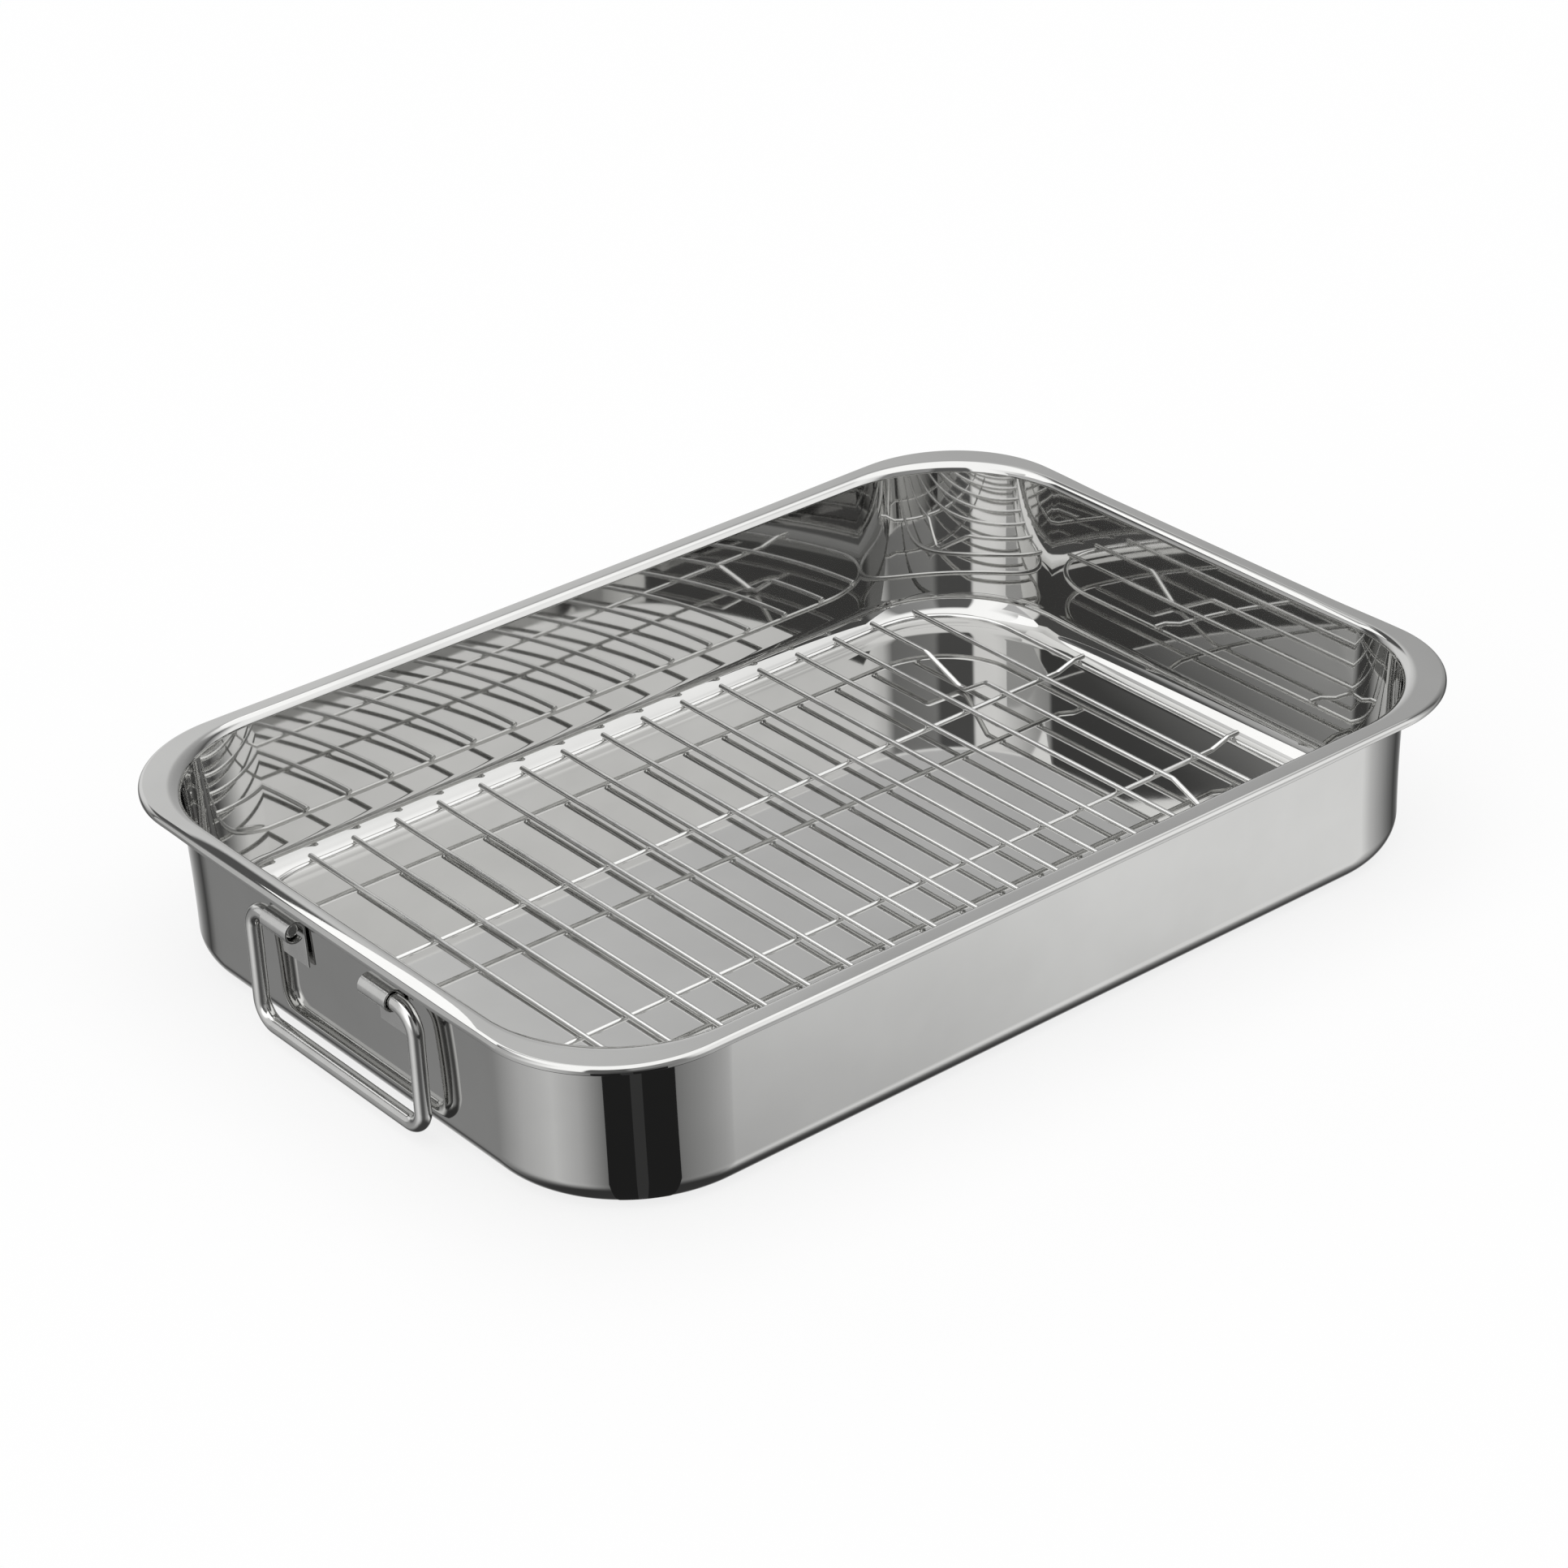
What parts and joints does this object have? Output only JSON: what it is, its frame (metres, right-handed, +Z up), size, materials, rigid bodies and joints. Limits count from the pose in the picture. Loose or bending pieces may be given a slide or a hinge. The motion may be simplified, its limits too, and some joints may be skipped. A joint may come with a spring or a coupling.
{
  "type": "roasting pan",
  "caption": "Rectangular polished steel roasting pan with rounded corners, a rolled rim, a hanging bail handle at each end and a loose wire rack standing on its floor.",
  "frame": {"origin": "centre of the flat underside, on the table", "axes": "+X along the pan towards the rear handle, +Y across the pan to the left, +Z up out of the pan"},
  "size_m": [0.4, 0.286, 0.064],
  "materials": {
    "pan_steel": "mirror polished stainless sheet",
    "handle_steel": "polished stainless wire",
    "strap_steel": "polished stainless strip",
    "rack_wire": "bright plated wire"
  },
  "bodies": {
    "pan": {"pan_body": "pan_steel", "strap_rear_left": "strap_steel", "strap_rear_right": "strap_steel", "strap_front_left": "strap_steel", "strap_front_right": "strap_steel"},
    "front_handle": {"handle_front": "handle_steel"},
    "rear_handle": {"handle_rear": "handle_steel"},
    "rack": {"rack_frame": "rack_wire", "rack_long_wire_left": "rack_wire", "rack_long_wire_right": "rack_wire", "rack_cross_wire_01": "rack_wire", "rack_cross_wire_02": "rack_wire", "rack_cross_wire_03": "rack_wire", "rack_cross_wire_04": "rack_wire", "rack_cross_wire_05": "rack_wire", "rack_cross_wire_06": "rack_wire", "rack_cross_wire_07": "rack_wire", "rack_cross_wire_08": "rack_wire", "rack_cross_wire_09": "rack_wire", "rack_cross_wire_10": "rack_wire", "rack_cross_wire_11": "rack_wire", "rack_cross_wire_12": "rack_wire", "rack_cross_wire_13": "rack_wire", "rack_cross_wire_14": "rack_wire", "rack_cross_wire_15": "rack_wire", "rack_cross_wire_16": "rack_wire", "rack_cross_wire_17": "rack_wire"}
  },
  "joints": [
    {"name": "front_handle_swing", "type": "hinge", "parent": "pan", "child": "front_handle", "pos_m": [-0.19576, 0, 0.05], "axis": [0, 1, 0], "range_deg": [0, 142]},
    {"name": "rear_handle_swing", "type": "hinge", "parent": "pan", "child": "rear_handle", "pos_m": [0.19576, 0, 0.05], "axis": [0, -1, 0], "range_deg": [0, 142]},
    {"name": "rack_lift", "type": "slide", "parent": "pan", "child": "rack", "axis": [0, 0, 1], "range_m": [0, 0.12]}
  ]
}
